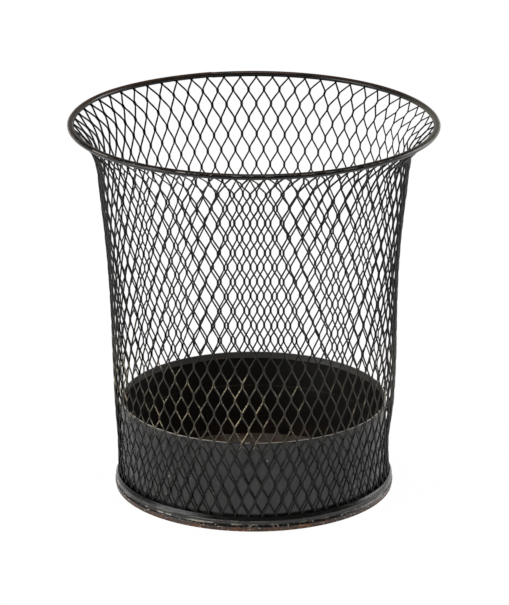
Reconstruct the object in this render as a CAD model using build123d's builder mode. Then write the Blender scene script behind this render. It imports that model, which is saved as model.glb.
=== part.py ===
from build123d import *
import math
import os

# Waste basket: a flared body of expanded steel mesh, held between a rolled rim tube and a
# beaded foot moulding, with a solid steel pan inside its lower quarter.
# Millimetres, +Z up, origin on the floor at the middle of the foot. The front faces -Y.

os.makedirs("parts", exist_ok=True)

# Rim tube: rolled from strip, butted at the back, slit along its underside for the mesh
rim_radius = 163.0
rim_centre_height = 340.7
rim_tube_width = 6.2
rim_tube_height = 4.7
rim_tube_wall = 0.6
rim_joint_gap = 0.4
rim_joint_angle = 103.8

# Pan: a rolled wall with a hem turned in at its top, round a flat bottom
pan_radius = 120.5
pan_height = 82.1
pan_sheet = 0.7
hem_height = 5.4
bottom_sheet = 0.8
bottom_clearance = 0.2

# Foot moulding: two beads over a floor edge, and a flange turned in under the pan.
# Each reach is how far it stands out from the pan.
foot_sheet = 0.8
foot_height = 13.4
foot_lip_reach = 3.9
upper_bead_reach = 5.6
upper_bead_height = 9.6
groove_reach = 4.6
groove_height = 6.5
lower_bead_reach = 5.5
lower_bead_height = 4.6
floor_edge_reach = 4.8
floor_edge_height = 2.6
foot_corner_radius = 1.2
foot_flange = 10.3

# Mesh: one expanded sheet, drawn as the zigzag strands between its slits
diamonds_around = 64
half_diamonds_high = 25
shoulder_row_count = 22
mesh_turn = 4.1
mesh_reach = 2.3
shoulder_rise_share = 0.9023
shoulder_spread_share = 0.4527
strand_width = 1.55
sheet_depth = 0.95
bond_clearance = 0.2
slit_clearance = 0.2
seat_clearance = 0.05
rim_tuck = 1.7

# Outline of the mesh: shares of the rise to the shoulder and of the spread on the way
wall_outline_shares = (
    (0.130, 0.030),
    (0.267, 0.203),
    (0.400, 0.297),
    (0.533, 0.330),
    (0.667, 0.428),
    (0.783, 0.582),
    (0.900, 0.790),
)
# Outline of the flare: shares of the way from the shoulder to the middle of the rim tube
flare_outline_shares = (
    (0.400, 0.215),
    (0.700, 0.560),
)

full_turn = 360
pitch_angle = full_turn / diamonds_around
seat_height = foot_sheet


def section_plane(angle):
    """Upright plane through the basket's axis, with its x running outwards at the angle."""
    outwards = Vector(1, 0, 0).rotate(Axis.Z, angle)
    sideways = Vector(0, -1, 0).rotate(Axis.Z, angle)
    return Plane(origin=(0, 0, 0), x_dir=outwards, z_dir=sideways)


def points_between(start, end, shares):
    """Outline points from their shares of the rise and of the spread between two ends."""
    (start_radius, start_height), (end_radius, end_height) = start, end
    rise = end_height - start_height
    spread = end_radius - start_radius
    return [
        (start_radius + spread * spread_share, start_height + rise * rise_share)
        for rise_share, spread_share in shares
    ]


# Middle line of the mesh, from its seat in the foot to the middle of the rim tube
mesh_seat = (pan_radius + mesh_reach, seat_height + seat_clearance)
rim_middle = (rim_radius, rim_centre_height)
shoulder_share = (shoulder_rise_share, shoulder_spread_share)
[shoulder] = points_between(mesh_seat, rim_middle, [shoulder_share])
outline = [
    mesh_seat,
    *points_between(mesh_seat, shoulder, wall_outline_shares),
    shoulder,
    *points_between(shoulder, rim_middle, flare_outline_shares),
    rim_middle,
]
with BuildLine(section_plane(0)) as wall_line:
    Spline(*outline)

wall = wall_line.edge()
slit_way = wall % 1
slit_turn = math.degrees(math.atan2(slit_way.Z, slit_way.X))

# Bond rows: the first is the sheet's edge on the foot, the last is in the rim tube's slit
row_pitch = (wall.length - rim_tuck) / half_diamonds_high


# Rim tube
with BuildPart() as rim_ring:
    with BuildSketch(section_plane(rim_joint_angle)):
        with Locations(rim_middle):
            Ellipse(rim_tube_width / 2, rim_tube_height / 2)
            Ellipse(
                rim_tube_width / 2 - rim_tube_wall,
                rim_tube_height / 2 - rim_tube_wall,
                mode=Mode.SUBTRACT,
            )
            Rectangle(
                rim_tube_width,
                sheet_depth + 2 * slit_clearance,
                rotation=slit_turn,
                align=(Align.MAX, Align.CENTER),
                mode=Mode.SUBTRACT,
            )
    revolve(axis=Axis.Z, revolution_arc=full_turn - math.degrees(rim_joint_gap / rim_radius))
rim_ring.part.label = "rim_ring"
export_step(rim_ring.part, "parts/rim_ring.step")


# Mesh
def strand_plane(distance, angle):
    """Plane square to the mesh at a distance along its wall, turned about the axis."""
    spot = wall.position_at(distance, position_mode=PositionMode.LENGTH)
    way = wall.tangent_at(distance, position_mode=PositionMode.LENGTH)
    return Plane(
        origin=spot.rotate(Axis.Z, angle),
        x_dir=Vector(0, 1, 0).rotate(Axis.Z, angle),
        z_dir=way.rotate(Axis.Z, angle),
    )


def strand_stations(hand):
    """Planes along one strand: at each bond, and half way between two bonds."""
    stations = []
    for step in range(2 * half_diamonds_high + 1):
        distance = step * row_pitch / 2
        radius = wall.position_at(distance, position_mode=PositionMode.LENGTH).X
        aside = math.degrees((strand_width / 2 + bond_clearance) / radius)
        bond_angles = (pitch_angle / 2 - aside, pitch_angle / 4, aside, pitch_angle / 4)
        stations.append(strand_plane(distance, hand * bond_angles[step % len(bond_angles)]))
    return stations


def strand_run(stations):
    """Smooth strand through a run of its planes."""
    with BuildPart() as strand:
        for station in stations:
            with BuildSketch(station):
                Rectangle(strand_width, sheet_depth)
        loft()
    return strand.part.solid()


# Each strand is made in two runs, which meet at a bond near the shoulder
strands = []
for hand in (1, -1):
    stations = strand_stations(hand)
    meeting = 2 * shoulder_row_count
    for run in (stations[: meeting + 1], stations[meeting:]):
        strand = strand_run(run)
        for column in range(diamonds_around):
            turn = mesh_turn - full_turn / 4 + column * pitch_angle
            strands.append(strand.rotate(Axis.Z, turn))

with BuildPart() as mesh_body:
    add(strands, mode=Mode.REPLACE, clean=False)
mesh_body.part.label = "mesh_body"
export_step(mesh_body.part, "parts/mesh_body.step")


# Foot moulding
floor_edge_radius = pan_radius + floor_edge_reach
bead_outline = [
    (pan_radius + foot_lip_reach, foot_height),
    (pan_radius + upper_bead_reach, upper_bead_height),
    (pan_radius + groove_reach, groove_height),
    (pan_radius + lower_bead_reach, lower_bead_height),
    (floor_edge_radius, floor_edge_height),
]
inner_outline = [(radius - foot_sheet, height) for radius, height in bead_outline]
flange_radius = floor_edge_radius - foot_flange
with BuildPart() as foot_ring:
    with BuildSketch(section_plane(0)):
        with BuildLine():
            beads = Spline(*bead_outline)
            floor_edge = Line(beads @ 1, (floor_edge_radius, foot_corner_radius))
            corner = RadiusArc(
                floor_edge @ 1,
                (floor_edge_radius - foot_corner_radius, 0),
                foot_corner_radius,
            )
            Polyline(
                corner @ 1,
                (flange_radius, 0),
                (flange_radius, foot_sheet),
                (floor_edge_radius - foot_sheet, foot_sheet),
                inner_outline[-1],
            )
            inner_beads = Spline(*inner_outline)
            Line(inner_beads @ 0, beads @ 0)
        make_face()
    revolve(axis=Axis.Z)
foot_ring.part.label = "foot_ring"
export_step(foot_ring.part, "parts/foot_ring.step")


# Pan wall: its hem is folded in and pressed flat
fold_height = pan_height - pan_sheet
inner_radius = pan_radius - pan_sheet
hem_radius = pan_radius - 2 * pan_sheet
with BuildPart() as pan_wall:
    with BuildSketch(section_plane(0)):
        with BuildLine():
            outer = Line((pan_radius, seat_height), (pan_radius, fold_height))
            fold = ThreePointArc(outer @ 1, (inner_radius, pan_height), (hem_radius, fold_height))
            Polyline(
                fold @ 1,
                (hem_radius, pan_height - hem_height),
                (inner_radius, pan_height - hem_height),
                (inner_radius, seat_height),
                outer @ 0,
            )
        make_face()
    revolve(axis=Axis.Z)
pan_wall.part.label = "pan_wall"
export_step(pan_wall.part, "parts/pan_wall.step")


# Pan bottom: a flat disc on the foot's flange, inside the pan wall
with BuildPart() as pan_bottom:
    with BuildSketch(Plane.XY.offset(seat_height)):
        Circle(inner_radius - bottom_clearance)
    extrude(amount=bottom_sheet)
pan_bottom.part.label = "pan_bottom"
export_step(pan_bottom.part, "parts/pan_bottom.step")
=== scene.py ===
import math

import bpy
import numpy as np
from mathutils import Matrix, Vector


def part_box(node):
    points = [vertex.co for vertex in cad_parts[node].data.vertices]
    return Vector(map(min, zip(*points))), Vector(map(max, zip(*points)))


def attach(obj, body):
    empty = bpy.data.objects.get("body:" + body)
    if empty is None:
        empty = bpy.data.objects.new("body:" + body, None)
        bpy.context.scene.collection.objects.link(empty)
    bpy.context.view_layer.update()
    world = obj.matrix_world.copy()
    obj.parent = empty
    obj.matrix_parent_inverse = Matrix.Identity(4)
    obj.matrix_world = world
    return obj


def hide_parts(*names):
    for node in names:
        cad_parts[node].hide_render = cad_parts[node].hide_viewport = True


# Mesh wastebasket: the looks of each piece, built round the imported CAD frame.
# Metres, +Z up, the front faces -Y. A turn is measured from the front towards +X.

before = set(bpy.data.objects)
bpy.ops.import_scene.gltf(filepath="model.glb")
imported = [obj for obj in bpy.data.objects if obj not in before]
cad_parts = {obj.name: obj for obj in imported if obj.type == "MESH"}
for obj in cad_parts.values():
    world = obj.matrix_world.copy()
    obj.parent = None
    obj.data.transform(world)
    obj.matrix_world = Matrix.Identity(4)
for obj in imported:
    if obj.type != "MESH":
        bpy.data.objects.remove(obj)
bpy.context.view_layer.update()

MM = 0.001
FULL_TURN = 2 * math.pi

# Sizes taken from the frame
rim_low, rim_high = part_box("rim_ring")
pan_low, pan_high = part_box("pan_wall")
bottom_low, bottom_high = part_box("pan_bottom")
foot_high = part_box("foot_ring")[1]

# Rim tube: rolled from strip, butted at the back, slit along its underside for the mesh
RIM_WIDTH = 6.2 * MM
RIM_HEIGHT = rim_high.z - rim_low.z
RIM_RADIUS = rim_high.x - RIM_WIDTH / 2
RIM_MIDDLE = (rim_high.z + rim_low.z) / 2
RIM_FULLNESS = 0.36 * MM
RIM_WALL = 0.6 * MM
RIM_HALF_SLIT = 0.68 * MM
RIM_SLIT_TURN = math.radians(225)
RIM_SECTION_POINTS = 30
RIM_RINGS = 385
RIM_JOINT_TURN = math.radians(193.8)
RIM_JOINT_GAP = 0.4 * MM

# Unevenness of the rim: the step and spring of its ends, a bulge back left, a dip at the right
RIM_UNEVEN = 0.12 * MM
RIM_JOINT_STEP = 0.4 * MM
RIM_JOINT_SPRING = 1.4 * MM
RIM_JOINT_REACH = 20 * MM
RIM_BULGE = 1.4 * MM
RIM_BULGE_TURN = math.radians(236)
RIM_BULGE_REACH = math.radians(18)
RIM_DIP = 0.8 * MM
RIM_DIP_TURN = math.radians(108)
RIM_DIP_REACH = math.radians(32)

# Mesh: the outline of its middle surface as (radius, height) in millimetres
WALL_OUTLINE = (
    (122.8, 0.85),
    (123.35, 40.7),
    (126.5, 82.7),
    (128.2, 123.5),
    (128.8, 164.3),
    (130.6, 205.4),
    (133.4, 241.0),
    (137.2, 276.8),
    (141.0, 307.5),
    (145.7, 320.8),
    (153.3, 330.7),
    (163.0, 340.7),
)
WALL_STEPS = 24
RIM_TUCK = 1.7 * MM

# Mesh: its diamonds, with the even and the odd rows' places as shares of a column
DIAMONDS_AROUND = 64
ROWS_HIGH = 25
ROW_PITCH = 14.0 * MM
FIRST_ROW = -3.9 * MM
BOND_PHASE = (0.17, 0.67)
BOND_SCATTER = 0.16 * MM
SCATTER_SEED = 7

# Mesh: its strands, tilted like louvres, and the shape of their arms and bonds
STRAND_WIDTH = 1.36 * MM
STRAND_DEPTH = 1.06 * MM
STRAND_BEVEL = 0.2 * MM
LOUVRE_TILT = math.radians(30)
FLARE_START = 0.25
FLARE_END = 0.32
FLARE_WIDENING = 0.16
BOND_HALF_LENGTH = 1.75 * MM
BOND_SQUEEZE = 0.21
BEND_SHARE = 0.12
ARM_STATIONS = (0.06, 0.14, 0.5, 0.86, 0.94)
CUT_SPACING = 0.001 * MM

# Corners of a strand's section, and those that a bond welds to the strand on either side
SECTION_CORNERS = 8
LEFT_SEAM = [5, 6, 7, 0]
RIGHT_SEAM = [4, 3, 2, 1]

# Unevenness of the rolled sheet: its columns lean, bunch and spread out on the way round,
# and its rows sag at the back of the foot and climb to the right at the rim
COLUMN_LEAN = 2.15 * MM
LEAN_START = 0.2
COLUMN_BUNCH = 0.78 * MM
BUNCH_TURN = math.radians(127)
COLUMN_SPREAD = 2.15 * MM
ROW_SAG = 2.54 * MM
SAG_SHARE_LOST = 0.83
ROW_SLOPE = 1.0 * MM
SHEET_WAVE = 0.25 * MM
# Soft dents of the wall: turn, height, half height of the dent, depth
SHEET_DENTS = (
    (math.radians(90), 0.317, 0.009, 2.3 * MM),
    (math.radians(90), 0.26, 0.09, 1.6 * MM),
    (math.radians(90), 0.046, 0.022, 1.5 * MM),
    (math.radians(-90), 0.11, 0.05, 0.9 * MM),
)
# The foot and the rim hold the sheet true: it strays in full where its height times its
# depth below the rim is past this
FREE_AREA = 1 / 120

# Pan
PAN_RADIUS = pan_high.x
PAN_SHEET = 0.7 * MM
HEM_HEIGHT = 5.4 * MM
HEM_LEAN = 0.9 * MM
HEM_EDGE_BEVEL = 0.12 * MM
HEM_EDGE_DROP = 0.3 * MM
PAN_DENT = 0.3 * MM
PAN_BACK_RISE = 0.9 * MM
PAN_OUTSIDE_POINTS = 16
FOLD_POINTS = 9
HEM_POINTS = 7
PAN_INSIDE_POINTS = 14
# Crease between the hem and the wall, then the plain wall, as depths below the fold
CREASE_BEVEL = 0.12 * MM
CREASE_TOP = 0.9 * MM
CREASE_LOW = 1.2 * MM
PLAIN_WALL_TOP = 3 * MM

# Pan bottom
BOTTOM_RINGS = 24
BOTTOM_STEPS = 192
BOTTOM_DISH = 0.1 * MM
BOTTOM_WAVE = 0.05 * MM

# Foot moulding: its outside as (reach out from the pan, height) in millimetres
FOOT_OUTLINE = (
    (3.9, 13.4),
    (5.6, 9.6),
    (4.7, 6.5),
    (6.1, 4.4),
    (5.5, 2.4),
)
FOOT_STEPS = 8
FOOT_SHEET = 0.8 * MM
FOOT_CORNER = 1.2 * MM
FOOT_CORNER_POINTS = 6
FOOT_FLANGE = 10.3 * MM
FOOT_FILLET = 0.4 * MM
FOOT_UNEVEN = 0.06 * MM

# Steps round the pan wall and the foot, and the angle from which an edge looks sharp
TURNED_STEPS = 256
SHARP_ANGLE = math.radians(50)

# Heights of paint wear, of the strands' band of dust and painted sheen, and of painted highlight
# lines
DUST_AND_SHEEN_START = pan_high.z - 6 * MM
DUST_AND_SHEEN_FADE = pan_high.z + 55 * MM
DUST_AND_SHEEN_END = pan_high.z + 80 * MM
RIM_SHEEN_LINE = RIM_MIDDLE + 1.1 * MM
TIDE_LINE = 49.6 * MM
PAN_RUST_TOP = 22 * MM
FOOT_SHEEN_LINE = 6.6 * MM
FOOT_UPPER_SHEEN_LINE = 9.8 * MM

# Camera: fitted to the photograph's rim, pan and foot
CAMERA_DISTANCE = 3.6
CAMERA_HEIGHT = 1.3983
CAMERA_PITCH = math.radians(18.809)
CAMERA_LENS = 298.315
CAMERA_SENSOR = 36
CAMERA_SHIFT = 0.0011
CAMERA_CLIP = 60

# Softboxes: name, place, size and watts
SOFTBOXES = (
    ("left_softbox", (-2.2, -0.9, 0.85), 1.5, 24),
    ("right_softbox", (2.1, 1.0, 0.95), 1.3, 16),
)
BASKET_MIDDLE = Vector((0, 0, 0.17))

# Floor: nearly all of its white is its own, and the rest shows the basket's shadow
FLOOR_REACH = 9
PAPER_GREY = 0.86
PAPER_WHITE = 1.03
WHITE_SHARE = 0.95
# Glossy paint sees the floor white behind the first place along Y, dark before the second
FLOOR_WHITE_TO = -0.4
FLOOR_DARK_FROM = -1.5
FLOOR_DARK = 0.1

# Studio room as glossy paint sees it, and its plain level of light. One part gives way to
# the next as the +Y or the +Z share of a ray's direction passes between the two numbers
FRONT_TO_BACK = (-0.35, 0.15)
WALL_FADE = (-0.02, 0.4)
CEILING_EDGE = (0.95, 0.99)
FRONT_WALL = 0.16
BACK_WALL = 0.8
WALL_FOOT_SHARE = 0.7
WALL_TOP_SHARE = 0.12
CEILING_LIGHT = 1.6
ROOM_LIGHT = 0.4
WHITE = (1, 1, 1, 1)


# Outlines, rings and pieces
def smooth_line(points, per_span):
    """Catmull-Rom curve through the points, as an array with so many steps for each span."""
    line = np.array(points, float)
    line = np.vstack([2 * line[0] - line[1], line, 2 * line[-1] - line[-2]])
    out = []
    for before, start, end, after in zip(line, line[1:], line[2:], line[3:]):
        chords = [np.linalg.norm(b - a) for a, b in ((before, start), (start, end), (end, after))]
        start_way = (start - before) / chords[0] + (end - start) / chords[1]
        start_way = (start_way - (end - before) / (chords[0] + chords[1])) * chords[1]
        end_way = (end - start) / chords[1] + (after - end) / chords[2]
        end_way = (end_way - (after - start) / (chords[1] + chords[2])) * chords[1]
        for step in range(per_span):
            t = step / per_span
            out.append(
                (2 * t**3 - 3 * t**2 + 1) * start
                + (t**3 - 2 * t**2 + t) * start_way
                + (3 * t**2 - 2 * t**3) * end
                + (t**3 - t**2) * end_way
            )
    out.append(line[-2])
    return np.array(out)


def around(turn, radius, height):
    """Places at turns from the front towards +X."""
    return np.stack([radius * np.sin(turn), -radius * np.cos(turn), height + 0 * turn], -1)


def even_turns(count):
    """Even turns once round."""
    return np.linspace(0, FULL_TURN, count, endpoint=False)


def turn_between(turn, other):
    """Smallest turn from one direction to the other."""
    return np.abs((turn - other + math.pi) % FULL_TURN - math.pi)


def ring_faces(ring_count, ring_size, ring_loop=True):
    """Quads between neighbouring rings of points."""
    faces = []
    for ring in range(ring_count if ring_loop else ring_count - 1):
        here, there = ring * ring_size, (ring + 1) % ring_count * ring_size
        for spot in range(ring_size):
            after = (spot + 1) % ring_size
            faces.append((here + spot, here + after, there + after, there + spot))
    return faces


def add_object(name, data):
    """New object in the scene."""
    made = bpy.data.objects.new(name, data)
    bpy.context.scene.collection.objects.link(made)
    return made


def make_piece(name, vertices, faces, node, materials, face_materials=None, sharp=True):
    """Mesh object with its materials, which replaces a CAD node and rides on the basket."""
    mesh = bpy.data.meshes.new(name)
    mesh.from_pydata([tuple(v) for v in vertices], [], [tuple(f) for f in faces])
    for material in materials:
        mesh.materials.append(material)
    if face_materials is not None:
        mesh.polygons.foreach_set("material_index", face_materials)
    mesh.shade_smooth()
    if sharp:
        mesh.set_sharp_from_angle(angle=SHARP_ANGLE)
    piece = add_object(name, mesh)
    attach(piece, "root")
    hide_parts(node)


def turned_piece(name, outline, strays, node, materials, face_materials=(0,)):
    """Closed outline of (radius, height) turned about the axis, with small strays added."""
    radius, height = np.array(outline).T
    rings = []
    for turn in even_turns(TURNED_STEPS):
        out, up = strays(turn, height)
        rings.append(around(turn + 0 * radius, radius + out, height + up))
    faces = ring_faces(TURNED_STEPS, len(outline))
    marks = np.resize(face_materials, len(faces))
    make_piece(name, np.concatenate(rings), faces, node, materials, marks)


# Materials
class Nodes:
    """Small helper to write a tree's nodes in the order in which they work."""

    def __init__(self, tree):
        self.tree = tree

    def fill(self, node, inputs):
        """Link or set each of a node's inputs."""
        for key, value in inputs.items():
            if isinstance(value, bpy.types.NodeSocket):
                self.tree.links.new(value, node.inputs[key])
            else:
                node.inputs[key].default_value = value

    def node(self, kind, inputs=(), **settings):
        made = self.tree.nodes.new(kind)
        for key, value in settings.items():
            setattr(made, key, value)
        self.fill(made, dict(inputs))
        return made

    def split(self, vector):
        return self.node("ShaderNodeSeparateXYZ", {0: vector}).outputs

    def between(self, value, low, high, start=0.0, end=1.0):
        """Smooth step from start to end as a value goes from low to high."""
        inputs = {
            "Value": value,
            "From Min": low,
            "From Max": high,
            "To Min": start,
            "To Max": end,
        }
        made = self.node("ShaderNodeMapRange", inputs, interpolation_type="SMOOTHSTEP")
        return made.outputs["Result"]

    def maths(self, operation, *values):
        inputs = dict(enumerate(values))
        return self.node("ShaderNodeMath", inputs, operation=operation).outputs[0]

    def product(self, value, *others):
        """All of the values multiplied."""
        for other in others:
            value = self.maths("MULTIPLY", value, other)
        return value

    def seen_with(self, camera, mirror):
        """Choice between two values for rays from the camera and rays off glossy paint."""
        light = self.node("ShaderNodeLightPath").outputs
        seen = self.maths("MAXIMUM", light["Is Glossy Ray"], light["Is Transmission Ray"])
        mirrored = self.maths("MULTIPLY", seen, mirror)
        return self.maths("MULTIPLY_ADD", light["Is Camera Ray"], camera, mirrored)


class Finish(Nodes):
    """A material with its principled shader."""

    def __init__(self, name):
        self.material = bpy.data.materials.new(name)
        self.material.use_nodes = True
        super().__init__(self.material.node_tree)
        self.shader = self.tree.nodes["Principled BSDF"]
        coordinates = self.node("ShaderNodeTexCoord").outputs
        self.coords = coordinates["Object"]
        self.normal = coordinates["Normal"]
        self.across, self.back, self.height = self.split(self.coords)

    def stretch(self, factors):
        """The object's coordinates, scaled along each axis."""
        scaled = self.node("ShaderNodeVectorMath", {0: self.coords, 1: factors}, operation="MULTIPLY")
        return scaled.outputs[0]

    def noise(self, size, detail=3, roughness=0.6, coords=None):
        """Cloudy value with patches of about this size in metres."""
        inputs = {
            "Vector": coords or self.coords,
            "Scale": 1 / size,
            "Detail": detail,
            "Roughness": roughness,
        }
        return self.node("ShaderNodeTexNoise", inputs).outputs["Fac"]

    def spots(self, size):
        """Distance to the nearest of points scattered at about this spacing in metres."""
        inputs = {"Vector": self.coords, "Scale": 1 / size, "Randomness": 1}
        return self.node("ShaderNodeTexVoronoi", inputs).outputs["Distance"]

    def outside(self):
        """One on faces that look away from the basket's axis, nought on those that face it."""
        inputs = {0: self.normal, 1: self.stretch((1, 1, 0))}
        away = self.node("ShaderNodeVectorMath", inputs, operation="DOT_PRODUCT").outputs["Value"]
        return self.between(away, -10 * MM, 20 * MM)

    def facing_up(self):
        """One on faces that lean back to look up, where dust settles and where light from above is
        painted on, nought on the others.
        """
        return self.between(self.split(self.normal)[2], -0.1, 0.25)

    def line(self, place, edge, core):
        """One along a level line round the basket, nought past its edge to either side."""
        off_line = self.maths("ABSOLUTE", self.maths("SUBTRACT", self.height, place))
        return self.between(off_line, edge, core)

    def mix(self, share, first, second):
        inputs = {0: share, 6: first, 7: second}
        return self.node("ShaderNodeMix", inputs, data_type="RGBA").outputs[2]

    def set(self, socket, value):
        self.fill(self.shader, {socket: value})

    def bump(self, value, depth, strength):
        inputs = {"Height": value, "Distance": depth, "Strength": strength}
        self.set("Normal", self.node("ShaderNodeBump", inputs).outputs[0])


def paint_colour(red, green, blue):
    """Colour of a paint as it looks on screen (0 to 255), in the shader's own units."""
    shares = np.array([red, green, blue]) / 255
    return (*np.where(shares < 0.04045, shares / 12.92, ((shares + 0.055) / 1.055) ** 2.4), 1)


STRAND_BLACK = paint_colour(9, 8, 7)
STRAND_GRIME = paint_colour(30, 23, 17)
# Olive: partly dust, partly painted sheen on the strands above the pan
OLIVE_DUST_AND_SHEEN = paint_colour(66, 63, 56)
# Pale dust colour, also painted as sheen on the strands and on the rim's right end
PALE_DUST_AND_SHEEN = paint_colour(104, 98, 86)
# Gold: partly worn paint, partly painted highlight on the strands
GOLD_GLINT_AND_WEAR = paint_colour(208, 192, 158)
BLACK_PAINT = paint_colour(26, 25, 24)
BROWN_PAINT = paint_colour(74, 48, 30)
WORN_BROWN = paint_colour(124, 104, 82)
# Pale grey of painted highlight lines on rim and foot and of the pan's part-worn lip
PALE_RUB_AND_SHEEN = paint_colour(202, 197, 184)
INNER_BLACK = paint_colour(30, 30, 28)
CHARCOAL = paint_colour(52, 52, 51)
# Hem grey: lighter than the paint, painted for the light the hem catches
LIT_HEM_GREY = paint_colour(80, 80, 77)
RUST = paint_colour(146, 92, 52)
DARK_RUST = paint_colour(74, 48, 34)
CREAM_CHIP = paint_colour(206, 198, 178)
# Floor brown, painted lighter to make up for the shade inside the pan
BRIGHTENED_FLOOR_BROWN = paint_colour(148, 131, 117)
FLOOR_RUST = paint_colour(108, 78, 60)


def mesh_finish():
    """Black strands; above the pan their outside is painted olive, part dust and part painted sheen
    of light from behind.
    """
    paint = Finish("mesh_paint")
    patches = paint.between(paint.noise(20 * MM, 2), 0.5, 0.66)
    grain = paint.between(paint.noise(2 * MM, 2), 0.38, 0.55)
    # Painted highlight: gold glints, partly worn paint, painted strongest on the left where the key
    # light falls
    left = paint.between(paint.across, 50 * MM, -20 * MM, 0.5, 1.0)
    gold_glint_and_wear = paint.product(patches, left, grain)
    grime = paint.between(paint.noise(5 * MM, 3), 0.35, 0.7)
    # Painted sheen: above the pan lip the strands' outside is made lighter, partly dust, partly light
    # from behind
    low = paint.between(paint.height, DUST_AND_SHEEN_START, pan_high.z)
    high = paint.between(paint.height, DUST_AND_SHEEN_END, DUST_AND_SHEEN_FADE)
    rub_and_sheen = paint.product(low, high, paint.outside())
    # Painted highlight: upward faces in that band turn pale, partly dust and partly light from above
    # painted on
    upward_dust_and_sheen = paint.product(rub_and_sheen, paint.facing_up())
    colour = paint.mix(grime, STRAND_BLACK, STRAND_GRIME)
    colour = paint.mix(paint.product(rub_and_sheen, 0.6), colour, OLIVE_DUST_AND_SHEEN)
    colour = paint.mix(paint.product(upward_dust_and_sheen, 0.4), colour, PALE_DUST_AND_SHEEN)
    colour = paint.mix(paint.product(gold_glint_and_wear, upward_dust_and_sheen), colour, GOLD_GLINT_AND_WEAR)
    paint.set("Base Color", colour)
    paint.set("Specular IOR Level", 0.25)
    paint.set("Roughness", paint.between(grime, 0, 1, 0.28, 0.4))
    paint.bump(paint.noise(0.6 * MM, 2), 0.05 * MM, 0.4)
    return paint.material


def rim_finish():
    """Black paint on the rim tube: its back browned, its right end painted pale as sheen, a pale line
    part rub, part painted highlight.
    """
    paint = Finish("rim_paint")
    patches = paint.between(paint.noise(18 * MM, 3), 0.3, 0.55)
    flecks = paint.between(paint.noise(1.6 * MM, 3), 0.54, 0.66)
    top = paint.between(paint.height, RIM_MIDDLE + 0.3 * MM, rim_high.z - 0.5 * MM)
    back = paint.between(paint.back, -60 * MM, 60 * MM, 0.15, 1.0)
    colour = paint.mix(paint.product(top, patches, back), BLACK_PAINT, BROWN_PAINT)
    colour = paint.mix(paint.product(top, flecks, 0.6), colour, WORN_BROWN)
    # Painted sheen: the rim's right end is painted paler where it catches the light, with some wear
    lit_worn_end = paint.between(paint.across, 130 * MM, 160 * MM, 0.0, 0.8)
    colour = paint.mix(lit_worn_end, colour, PALE_DUST_AND_SHEEN)
    # Painted highlight: a pale line along the rim's outside, partly rub, strongest on the left
    line = paint.line(RIM_SHEEN_LINE, 0.45 * MM, 0.15 * MM)
    lengths = paint.between(paint.noise(12 * MM, 5), 0.48, 0.6)
    left = paint.between(paint.across, 0, -60 * MM, 0.35, 0.8)
    rub_and_sheen = paint.product(line, paint.outside(), lengths, left)
    paint.set("Base Color", paint.mix(rub_and_sheen, colour, PALE_RUB_AND_SHEEN))
    paint.set("Roughness", paint.between(patches, 0, 1, 0.12, 0.26))
    paint.bump(paint.noise(1.5 * MM, 3), 0.06 * MM, 0.5)
    return paint.material


def level_height(paint):
    """Height on the pan, with the small rise of its back taken out."""
    level = paint.maths("MULTIPLY_ADD", paint.back, -PAN_BACK_RISE / (2 * PAN_RADIUS), paint.height)
    return paint.maths("SUBTRACT", level, PAN_BACK_RISE / 2)


def lip_rub_and_sheen(paint):
    """Share of pale on the very top of the pan's fold, most of it along the front: part bare metal,
    part painted highlight.
    """
    # Pale line on the fold's top: partly bare metal, partly painted highlight, strongest along the
    # front
    top = paint.between(level_height(paint), pan_high.z - 0.6 * MM, pan_high.z - 0.3 * MM)
    lengths = paint.between(paint.noise(16 * MM, 4), 0.36, 0.46)
    front = paint.between(paint.back, 60 * MM, -20 * MM, 0.12, 1.0)
    return paint.product(top, lengths, front)


def pan_outside_finish():
    """Satin charcoal paint with streaks, small chips and a pale lip, part rub and part painted
    highlight.
    """
    paint = Finish("pan_outside_paint")
    streaks = paint.noise(6 * MM, 4, coords=paint.stretch((1, 1, 0.15)))
    clouds = paint.noise(12 * MM, 6, roughness=0.7)
    shade = paint.between(paint.maths("ADD", streaks, clouds), 0.86, 1.14)
    colour = paint.mix(shade, BLACK_PAINT, CHARCOAL)
    chip_place = paint.between(paint.spots(9 * MM), 0.11, 0.07)
    chip_keep = paint.between(paint.noise(7 * MM, 1), 0.52, 0.58)
    colour = paint.mix(paint.product(chip_place, chip_keep, 0.6), colour, CREAM_CHIP)
    paint.set("Base Color", paint.mix(lip_rub_and_sheen(paint), colour, PALE_RUB_AND_SHEEN))
    paint.set("Roughness", paint.between(clouds, 0.3, 0.7, 0.16, 0.32))
    paint.bump(paint.noise(1.5 * MM, 4), 0.12 * MM, 0.6)
    return paint.material


def pan_inside_finish():
    """Black paint inside the pan: a hem painted lighter for the light it catches, a tide line, and
    brown towards the floor.
    """
    paint = Finish("pan_inside_paint")
    clouds = paint.between(paint.noise(16 * MM, 4), 0.35, 0.7)
    low = paint.between(paint.height, PAN_RUST_TOP, 2 * MM)
    colour = paint.mix(paint.product(clouds, low), INNER_BLACK, DARK_RUST)
    tide = paint.line(TIDE_LINE, 0.8 * MM, 0.3 * MM)
    colour = paint.mix(paint.product(tide, clouds, 0.4), colour, WORN_BROWN)
    height = level_height(paint)
    # Painted light: the hem band is painted lighter grey for the light it catches, its lower edge
    # paler brown
    hem_low = pan_high.z - HEM_HEIGHT
    lit_hem = paint.between(height, hem_low - 0.4 * MM, hem_low - 0.2 * MM)
    colour = paint.mix(lit_hem, colour, LIT_HEM_GREY)
    hem_edge = paint.between(height, hem_low + 0.9 * MM, hem_low)
    colour = paint.mix(paint.product(lit_hem, hem_edge, clouds), colour, WORN_BROWN)
    paint.set("Base Color", paint.mix(lip_rub_and_sheen(paint), colour, PALE_RUB_AND_SHEEN))
    paint.set("Roughness", paint.between(clouds, 0, 1, 0.4, 0.62))
    paint.bump(paint.noise(1.5 * MM, 3), 0.06 * MM, 0.5)
    return paint.material


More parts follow.
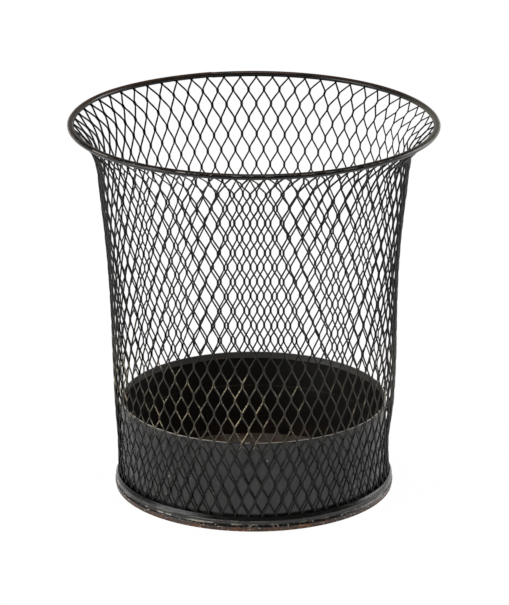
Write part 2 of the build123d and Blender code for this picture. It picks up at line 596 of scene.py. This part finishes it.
def bottom_finish():
    """Pan bottom: black paint worn through to brown rust, painted lighter to make up for shade in the
    pan.
    """
    paint = Finish("bottom_rust")
    clouds = paint.between(paint.noise(20 * MM, 5), 0.32, 0.6)
    remnants = paint.between(paint.noise(6 * MM, 4), 0.6, 0.7)
    # Painted light: the floor's brown is lighter than the rust is, to make up for the shade deep in
    # the pan
    colour = paint.mix(clouds, FLOOR_RUST, BRIGHTENED_FLOOR_BROWN)
    paint.set("Base Color", paint.mix(remnants, colour, BLACK_PAINT))
    paint.set("Roughness", paint.between(remnants, 0, 1, 0.75, 0.45))
    paint.bump(paint.noise(1.0 * MM, 4), 0.15 * MM, 0.6)
    return paint.material


def foot_finish():
    """Gloss black paint on the foot moulding: rust along its lower edge, chips, and painted pale
    highlight lines on its beads.
    """
    paint = Finish("foot_paint")
    flat_coords = paint.stretch((1, 1, 2.5))
    clouds = paint.between(paint.noise(22 * MM, 3), 0.42, 0.6)
    ragged = paint.noise(5 * MM, 4, coords=flat_coords)
    edge_height = paint.maths("MULTIPLY_ADD", ragged, -9 * MM, paint.height)
    edge = paint.between(edge_height, 1.2 * MM, -2 * MM)
    flecks = paint.between(paint.noise(2.4 * MM, 4, coords=flat_coords), 0.46, 0.56)
    rust = paint.product(edge, flecks, clouds)
    chips = paint.noise(1.6 * MM, 2, coords=paint.stretch((0.6, 0.6, 1)))
    chip_band = paint.between(paint.height, 7 * MM, 5 * MM)
    chips = paint.product(paint.between(chips, 0.62, 0.66), chip_band)
    # Painted highlights: pale lines along the bead crests, strongest on the left
    sheen_lines = paint.maths(
        "MULTIPLY_ADD",
        paint.line(FOOT_UPPER_SHEEN_LINE, 0.6 * MM, 0.2 * MM),
        0.45,
        paint.line(FOOT_SHEEN_LINE, 1.0 * MM, 0.4 * MM),
    )
    lengths = paint.between(paint.noise(14 * MM, 5), 0.44, 0.6)
    left = paint.between(paint.across, 60 * MM, -40 * MM, 0.25, 0.75)
    colour = paint.mix(paint.product(edge, 0.65), BLACK_PAINT, DARK_RUST)
    colour = paint.mix(rust, colour, RUST)
    colour = paint.mix(paint.product(sheen_lines, lengths, left), colour, PALE_RUB_AND_SHEEN)
    paint.set("Base Color", paint.mix(chips, colour, CREAM_CHIP))
    streaks = paint.noise(5 * MM, 5, roughness=0.7, coords=paint.stretch((0.5, 0.5, 5)))
    dull = paint.between(streaks, 0.35, 0.6, 0.1, 0.38)
    paint.set("Roughness", paint.maths("MAXIMUM", dull, paint.product(edge, 0.6)))
    paint.bump(paint.noise(3 * MM, 4, coords=flat_coords), 0.2 * MM, 0.7)
    return paint.material


# Rim tube
def rim_section():
    """Rolled strip as (radius, height) about the tube's middle: outside, then inside back."""
    outside, inside = [], []
    width, height = RIM_WIDTH / 2, (RIM_HEIGHT + RIM_FULLNESS) / 2
    for half_width, half_height, line in (
        (width, height, outside),
        (width - RIM_WALL, height - RIM_WALL, inside),
    ):
        opening = math.asin(RIM_HALF_SLIT / half_height)
        for turn in np.linspace(opening, FULL_TURN - opening, RIM_SECTION_POINTS):
            angle = RIM_SLIT_TURN + turn
            up = half_height * math.sin(angle) - RIM_FULLNESS / 2
            line.append((half_width * math.cos(angle), up))
    return np.array(outside + inside[::-1])


def rim_stray(turn):
    """How far the hoop stands out from a true circle."""
    from_joint = turn_between(turn, RIM_JOINT_TURN) * RIM_RADIUS
    spring = RIM_JOINT_SPRING * np.exp(-from_joint / RIM_JOINT_REACH)
    from_bulge = turn_between(turn, RIM_BULGE_TURN)
    bulge = RIM_BULGE * np.exp(-((from_bulge / RIM_BULGE_REACH) ** 2))
    return spring + bulge + RIM_UNEVEN * ((np.sin(3 * turn + 1) + np.sin(7 * turn)) / 2 - 1)


def rim_fall(turn, before_joint):
    """How far the hoop lies below its true height."""
    step = RIM_JOINT_STEP * np.exp(-before_joint / RIM_JOINT_REACH)
    dip = RIM_DIP * np.exp(-((turn_between(turn, RIM_DIP_TURN) / RIM_DIP_REACH) ** 2))
    return step + dip + RIM_UNEVEN * (1 + np.sin(5 * turn)) / 2


def build_rim():
    """Rim ring: the rolled tube, butted at the back with a small step."""
    section = rim_section()
    half_gap = RIM_JOINT_GAP / RIM_RADIUS / 2
    turns = RIM_JOINT_TURN + np.linspace(half_gap, FULL_TURN - half_gap, RIM_RINGS)
    before_joint = (turns[-1] - turns) * RIM_RADIUS
    rings = [
        around(turn, RIM_RADIUS + stray + section[:, 0], RIM_MIDDLE - fall + section[:, 1])
        for turn, stray, fall in zip(turns, rim_stray(turns), rim_fall(turns, before_joint))
    ]
    faces = ring_faces(RIM_RINGS, len(section), ring_loop=False)
    # The cut ends of the strip
    end = (RIM_RINGS - 1) * len(section)
    for outer in range(RIM_SECTION_POINTS - 1):
        inner = len(section) - 1 - outer
        cut = (outer, outer + 1, inner - 1, inner)
        faces.append(cut[::-1])
        faces.append(tuple(end + corner for corner in cut))
    make_piece(
        "rim_tube",
        np.concatenate(rings),
        faces,
        "rim_ring",
        [rim_finish()],
    )


# Mesh
wall = smooth_line(np.array(WALL_OUTLINE) * MM, WALL_STEPS)
wall_length = np.concatenate([[0], np.cumsum(np.linalg.norm(np.diff(wall, axis=0), axis=1))])
sheet_end = wall_length[-1] - RIM_TUCK
foot_radius = wall[0, 0]
column_pitch = FULL_TURN / DIAMONDS_AROUND


def wall_place(way):
    """Radius and height of the wall's outline at a way up it."""
    return np.interp(way, wall_length, wall[:, 0]), np.interp(way, wall_length, wall[:, 1])


def strayed(turn, way):
    """Turn and way up of a bond once the unevenness of the rolled sheet is added."""
    share = max(way, 0) / wall_length[-1]
    aside = (
        COLUMN_LEAN * (share - LEAN_START)
        + COLUMN_BUNCH * math.cos(turn - BUNCH_TURN)
        - COLUMN_SPREAD * share * math.sin(2 * turn)
    )
    sag = ROW_SAG * (1 - SAG_SHARE_LOST * share) * math.cos(turn)
    return turn + aside / foot_radius, way + sag + ROW_SLOPE * share * math.sin(turn)


def sheet_stray(turn, height):
    """How far the sheet stands out from its outline: waves, dents and the hoop's strays."""
    wave = np.sin(3 * turn + 14 * height) + np.sin(5 * turn - 22 * height + 2)
    stray = SHEET_WAVE / 2 * wave
    for dent_turn, dent_height, reach, depth in SHEET_DENTS:
        pressed = np.clip(np.cos(turn - dent_turn), 0, 1) ** 2
        stray -= depth * pressed * np.exp(-(((height - dent_height) / reach) ** 2))
    free = np.clip(height * (RIM_MIDDLE - height) / FREE_AREA, 0, 1)
    in_flare = np.clip((height - FLARE_START) / (RIM_MIDDLE - FLARE_START), 0, 1)
    return stray * free + rim_stray(turn) * in_flare**2


def strand_width(height, side):
    """Width of the strands, a little wider in the flare and squeezed narrower at the bonds."""
    share = np.clip((height - FLARE_START) / (FLARE_END - FLARE_START), 0, 1)
    widening = 1 + FLARE_WIDENING * share * share * (3 - 2 * share)
    return STRAND_WIDTH * widening * (1 - BOND_SQUEEZE * side**4)


def arm_share(t):
    """How far across an arm has come at a share of its way up, with a bend at each end."""
    level = 2 * BEND_SHARE * (1 - BEND_SHARE)
    if t < BEND_SHARE:
        return t * t / level
    if t > 1 - BEND_SHARE:
        return 1 - (1 - t) ** 2 / level
    return (t - BEND_SHARE / 2) / (1 - BEND_SHARE)


def strand_bonds(hand, column, scatter):
    """Bonds of one zigzag strand, from the foot up: turn, way up the wall, and side."""
    bonds = []
    for row in range(ROWS_HIGH + 1):
        if row % 2 == 0:
            bond_column, side = column, hand
        else:
            bond_column, side = (column, -1) if hand > 0 else (column - 1, 1)
        even_turn = (bond_column + BOND_PHASE[row % 2]) * column_pitch
        turn, way = strayed(even_turn, FIRST_ROW + row * ROW_PITCH)
        aside, up = scatter[row, bond_column % DIAMONDS_AROUND]
        radius, height = wall_place(way)
        lean = side * strand_width(height, side) / 2 * math.cos(LOUVRE_TILT)
        bonds.append((turn + (aside + lean) / radius, way + up, side))
    return bonds


def strand_path(hand, column, scatter):
    """Stations of one zigzag strand: turn, way up the wall, side, and whether it is bonded."""
    bonds = strand_bonds(hand, column, scatter)
    stations = []
    for row, (turn, way, side) in enumerate(bonds):
        start = way + BOND_HALF_LENGTH
        stations.append((turn, way - BOND_HALF_LENGTH, side, row > 0))
        stations.append((turn, start, side, row > 0))
        if row < ROWS_HIGH:
            next_turn, next_way, next_side = bonds[row + 1]
            rise = next_way - BOND_HALF_LENGTH - start
            for t in ARM_STATIONS:
                share = arm_share(t)
                arm_turn = turn + (next_turn - turn) * share
                arm_side = side + (next_side - side) * share
                stations.append((arm_turn, start + rise * t, arm_side, False))
    # The sheet is cut off level at the seat and at the rim
    turns, ways, sides, bonded = np.array(stations, float).T
    cut_ways = np.clip(ways, 0, sheet_end) + np.arange(len(ways)) * CUT_SPACING
    cut_turns = np.interp(cut_ways, ways, turns)
    return np.stack([cut_turns, cut_ways, np.interp(cut_ways, ways, sides), bonded])


def strand_section(width, side, bonded):
    """Section as (across, outwards), bevelled except where it is welded to its neighbour."""
    half, depth, bevel = width / 2, STRAND_DEPTH / 2, STRAND_BEVEL
    left_bevel = 0 if bonded and side > 0 else bevel
    right_bevel = 0 if bonded and side < 0 else bevel
    return (
        (-half + left_bevel, depth),
        (half - right_bevel, depth),
        (half, depth - bevel),
        (half, bevel - depth),
        (half - right_bevel, -depth),
        (-half + left_bevel, -depth),
        (-half, bevel - depth),
        (-half, depth - bevel),
    )


def strand_corners(path):
    """Places of the corners of each of a strand's sections."""
    turn, way, side, bonded = path
    radius, height = wall_place(way)
    radius = radius + sheet_stray(turn, height)
    rise = np.stack([np.gradient(radius, way), np.gradient(height, way)], -1)
    rise /= np.linalg.norm(rise, axis=1)[:, None]
    aside = np.stack([np.cos(turn), np.sin(turn), 0 * turn], -1)
    outward = np.stack([np.sin(turn), -np.cos(turn), 0 * turn], -1)
    up = np.array([0, 0, 1])
    along = outward * rise[:, :1] + up * rise[:, 1:]
    normal = outward * rise[:, 1:] - up * rise[:, :1]
    slope = np.arctan(np.gradient(turn, way) * radius) * (1 - bonded)
    across = aside * np.cos(slope)[:, None] - along * np.sin(slope)[:, None]
    flat = across * math.cos(LOUVRE_TILT) + normal * math.sin(LOUVRE_TILT)
    face = normal * math.cos(LOUVRE_TILT) - across * math.sin(LOUVRE_TILT)
    width = strand_width(height, side)
    middle = around(turn, radius, height)
    middle += normal * (side * width / 2 * math.sin(LOUVRE_TILT))[:, None]
    sections = np.array([strand_section(*station) for station in zip(width, side, bonded)])
    spread = flat[:, None] * sections[..., :1] + face[:, None] * sections[..., 1:]
    return middle[:, None] + spread


def weld_bonds(paths, station_count):
    """Numbers of every strand's corners, where two strands share theirs along a bond."""
    numbers = np.arange(len(paths) * station_count * SECTION_CORNERS)
    blocks = numbers.reshape(len(paths), station_count, SECTION_CORNERS)
    corners = dict(zip(paths, blocks))
    for column in range(DIAMONDS_AROUND):
        mine = corners[1, column]
        on_left = corners[-1, column]
        on_right = corners[-1, (column + 1) % DIAMONDS_AROUND]
        for station, (side, bonded) in enumerate(paths[1, column][2:].T):
            if bonded and side > 0:
                mine[station, LEFT_SEAM] = on_left[station, RIGHT_SEAM]
            elif bonded:
                mine[station, RIGHT_SEAM] = on_right[station, LEFT_SEAM]
    return corners


def strand_faces(path, corners):
    """Quads and two ends of one strand, open where it is welded to its neighbour."""
    sides, bonded = path[2:]
    faces = []
    for station in range(len(corners) - 1):
        here, there = corners[station], corners[station + 1]
        seam = ()
        if bonded[station] and bonded[station + 1]:
            seam = LEFT_SEAM if sides[station] > 0 else RIGHT_SEAM
        for corner in range(SECTION_CORNERS):
            after = (corner + 1) % SECTION_CORNERS
            if corner not in seam or after not in seam:
                faces.append((here[corner], here[after], there[after], there[corner]))
    return [*faces, corners[0, ::-1], corners[-1]]


def build_mesh():
    """Expanded sheet: its zigzag strands, welded side by side at every bond."""
    chance = np.random.RandomState(SCATTER_SEED)
    scatter = chance.normal(0, BOND_SCATTER, (ROWS_HIGH + 1, DIAMONDS_AROUND, 2))
    scatter = np.clip(scatter, -2 * BOND_SCATTER, 2 * BOND_SCATTER)
    paths = {
        (hand, column): strand_path(hand, column, scatter)
        for hand in (1, -1)
        for column in range(DIAMONDS_AROUND)
    }
    places = np.array([strand_corners(path) for path in paths.values()])
    corners = weld_bonds(paths, places.shape[1])
    faces = [face for key, path in paths.items() for face in strand_faces(path, corners[key])]
    # Only the corners that are left after the welds become vertices
    used, numbers = np.unique(np.concatenate(faces), return_inverse=True)
    face_ends = np.cumsum([len(face) for face in faces])[:-1]
    make_piece(
        "expanded_mesh",
        places.reshape(-1, 3)[used],
        np.split(numbers, face_ends),
        "mesh_body",
        [mesh_finish()],
        sharp=False,
    )


# Pan
def build_pan_wall():
    """Pan wall: one sheet whose top is folded in as a hem that leans off the wall."""
    inside = PAN_RADIUS - PAN_SHEET
    seat, top = pan_low.z, pan_high.z
    fold_height = top - PAN_SHEET
    wall_up = [(PAN_RADIUS, z) for z in np.linspace(seat, fold_height, PAN_OUTSIDE_POINTS)]
    fold = [
        (inside + PAN_SHEET * math.cos(a), fold_height + PAN_SHEET * math.sin(a))
        for a in np.linspace(0, math.pi, FOLD_POINTS)[1:-1]
    ]
    hem_low = top - HEM_HEIGHT
    hem_out = inside - HEM_LEAN
    hem_in = hem_out - PAN_SHEET
    hem_down = [
        (inside - PAN_SHEET - HEM_LEAN * share**1.5, fold_height - (fold_height - hem_low) * share)
        for share in np.linspace(0, 1, HEM_POINTS)
    ]
    hem_edge = [
        (hem_in + HEM_EDGE_BEVEL, hem_low - HEM_EDGE_DROP),
        (hem_out - HEM_EDGE_BEVEL, hem_low - HEM_EDGE_DROP),
        (hem_out, hem_low),
    ]
    crease = [(inside - CREASE_BEVEL, fold_height - CREASE_TOP), (inside, fold_height - CREASE_LOW)]
    plain_top = fold_height - PLAIN_WALL_TOP
    wall_down = [(inside, z) for z in np.linspace(plain_top, seat, PAN_INSIDE_POINTS)]
    outline = wall_up + fold + hem_down + hem_edge + crease + wall_down
    outer_count = len(wall_up) + len(fold) // 2
    marks = [0] * outer_count + [1] * (len(outline) - outer_count)

    def strays(turn, height):
        bulge = np.sin(2 * turn + 0.6) + np.sin(5 * turn + 30 * height)
        share = np.clip((height - seat) / top, 0, 1)
        return PAN_DENT / 2 * (bulge - 2) * share, PAN_BACK_RISE * (1 - math.cos(turn)) / 2 * share

    finishes = [pan_outside_finish(), pan_inside_finish()]
    turned_piece("pan_shell", outline, strays, "pan_wall", finishes, marks)


def build_pan_bottom():
    """Pan bottom: a flat disc with a slight wave in its top."""
    low, high, radius = bottom_low.z, bottom_high.z, bottom_high.x
    turns = even_turns(BOTTOM_STEPS)
    rings = [around(turns, radius, low)]
    for share in np.linspace(1, 0, BOTTOM_RINGS + 1)[:-1]:
        wave = BOTTOM_WAVE * (np.sin(3 * turns + 4 * share) - 1)
        rings.append(around(turns, radius * share, high + wave))
    centres = [(0, 0, low), (0, 0, high - BOTTOM_DISH)]
    vertices = np.concatenate([*rings, centres])
    faces = ring_faces(len(rings), BOTTOM_STEPS, ring_loop=False)
    under, middle = len(vertices) - 2, len(vertices) - 1
    inner_ring = BOTTOM_RINGS * BOTTOM_STEPS
    for spot in range(BOTTOM_STEPS):
        after = (spot + 1) % BOTTOM_STEPS
        faces.append((under, after, spot))
        faces.append((middle, inner_ring + spot, inner_ring + after))
    make_piece("pan_floor", vertices, faces, "pan_bottom", [bottom_finish()])


# Foot moulding
def build_foot():
    """Foot moulding: two beads, a floor edge and the flange turned in under the pan."""
    line = np.array([(PAN_RADIUS + reach * MM, height * MM) for reach, height in FOOT_OUTLINE])
    beads = smooth_line(line, FOOT_STEPS)
    edge_radius = line[-1, 0]
    corner_radius = edge_radius - FOOT_CORNER
    corner = [
        (corner_radius + FOOT_CORNER * math.cos(a), FOOT_CORNER * (1 - math.sin(a)))
        for a in np.linspace(0, math.pi / 2, FOOT_CORNER_POINTS)
    ]
    flange = edge_radius - FOOT_FLANGE
    inner_edge = edge_radius - FOOT_SHEET
    turn_in = [
        (flange, 0),
        (flange, FOOT_SHEET),
        (inner_edge - FOOT_FILLET, FOOT_SHEET),
        (inner_edge, FOOT_SHEET + FOOT_FILLET),
    ]
    inner_beads = beads[::-1] - np.array([FOOT_SHEET, 0])
    outline = [*beads, *corner, *turn_in, *inner_beads][::-1]

    def strays(turn, height):
        share = np.clip(height / foot_high.z, 0, 1)
        return FOOT_UNEVEN * (math.sin(4 * turn) - 1) * share, 0

    turned_piece("foot_moulding", outline, strays, "foot_ring", [foot_finish()])


# Stage, lights and camera
def build_floor():
    """Plain white floor: the camera and reflections see it white, with a part of its shadow."""
    mesh = bpy.data.meshes.new("floor")
    left, right = -FLOOR_REACH, FLOOR_REACH
    corners = [(left, left, 0), (right, left, 0), (right, right, 0), (left, right, 0)]
    mesh.from_pydata(corners, [], [(0, 1, 2, 3)])
    floor = add_object("floor", mesh)
    material = bpy.data.materials.new("floor_white")
    material.use_nodes = True
    material.node_tree.nodes.clear()
    nodes = Nodes(material.node_tree)
    back = nodes.split(nodes.node("ShaderNodeTexCoord").outputs["Object"])[1]
    mirrored = nodes.between(back, FLOOR_DARK_FROM, FLOOR_WHITE_TO, FLOOR_DARK, 1.0)
    paper = nodes.node("ShaderNodeBsdfDiffuse", {"Color": (PAPER_GREY, PAPER_GREY, PAPER_GREY, 1)})
    glow = nodes.node("ShaderNodeEmission", {"Strength": nodes.seen_with(PAPER_WHITE, mirrored)})
    share = nodes.seen_with(WHITE_SHARE, WHITE_SHARE)
    blend = nodes.node("ShaderNodeMixShader", {0: share, 1: paper.outputs[0], 2: glow.outputs[0]})
    nodes.node("ShaderNodeOutputMaterial", {0: blend.outputs[0]})
    mesh.materials.append(material)


def build_world():
    """Soft studio room with a plain level of light: the camera sees it white, and glossy
    paint sees a bright wall behind the basket, a dim one in front, and a light overhead."""
    world = bpy.data.worlds.new("studio")
    bpy.context.scene.world = world
    world.use_nodes = True
    world.node_tree.nodes.clear()
    nodes = Nodes(world.node_tree)
    _, back, up = nodes.split(nodes.node("ShaderNodeTexCoord").outputs["Generated"])
    walls = nodes.between(back, *FRONT_TO_BACK, FRONT_WALL, BACK_WALL)
    fade = nodes.between(up, *WALL_FADE, WALL_FOOT_SHARE, WALL_TOP_SHARE)
    ceiling = nodes.between(up, *CEILING_EDGE, 0.0, CEILING_LIGHT)
    room = nodes.maths("MULTIPLY_ADD", walls, fade, ceiling)
    inputs = {"Color": WHITE, "Strength": nodes.seen_with(1.0, room)}
    seen_room = nodes.node("ShaderNodeBackground", inputs)
    light_room = nodes.node("ShaderNodeBackground", {"Color": WHITE, "Strength": ROOM_LIGHT})
    inputs = {0: nodes.seen_with(1.0, 1.0), 1: light_room.outputs[0], 2: seen_room.outputs[0]}
    blend = nodes.node("ShaderNodeMixShader", inputs)
    nodes.node("ShaderNodeOutputWorld", {0: blend.outputs[0]})


def build_softboxes():
    """Square softboxes that face the middle of the basket."""
    for name, place, size, watts in SOFTBOXES:
        lamp = bpy.data.lights.new(name, "AREA")
        lamp.shape = "SQUARE"
        lamp.size = size
        lamp.energy = watts
        box = add_object(name, lamp)
        box.location = place
        aim = BASKET_MIDDLE - box.location
        box.rotation_euler = aim.to_track_quat("-Z", "Y").to_euler()


def build_camera():
    """Camera at the photograph's place, with its long lens."""
    lens = bpy.data.cameras.new("photo_camera")
    lens.sensor_fit = "HORIZONTAL"
    lens.sensor_width = CAMERA_SENSOR
    lens.lens = CAMERA_LENS
    lens.shift_x = CAMERA_SHIFT
    lens.clip_end = CAMERA_CLIP
    camera = add_object("photo_camera", lens)
    camera.location = (0, -CAMERA_DISTANCE, CAMERA_HEIGHT)
    camera.rotation_euler = (math.pi / 2 - CAMERA_PITCH, 0, 0)
    bpy.context.scene.camera = camera


build_camera()
build_world()
build_floor()
build_softboxes()
build_rim()
build_mesh()
build_pan_wall()
build_pan_bottom()
build_foot()

bpy.context.scene.view_settings.view_transform = "Standard"
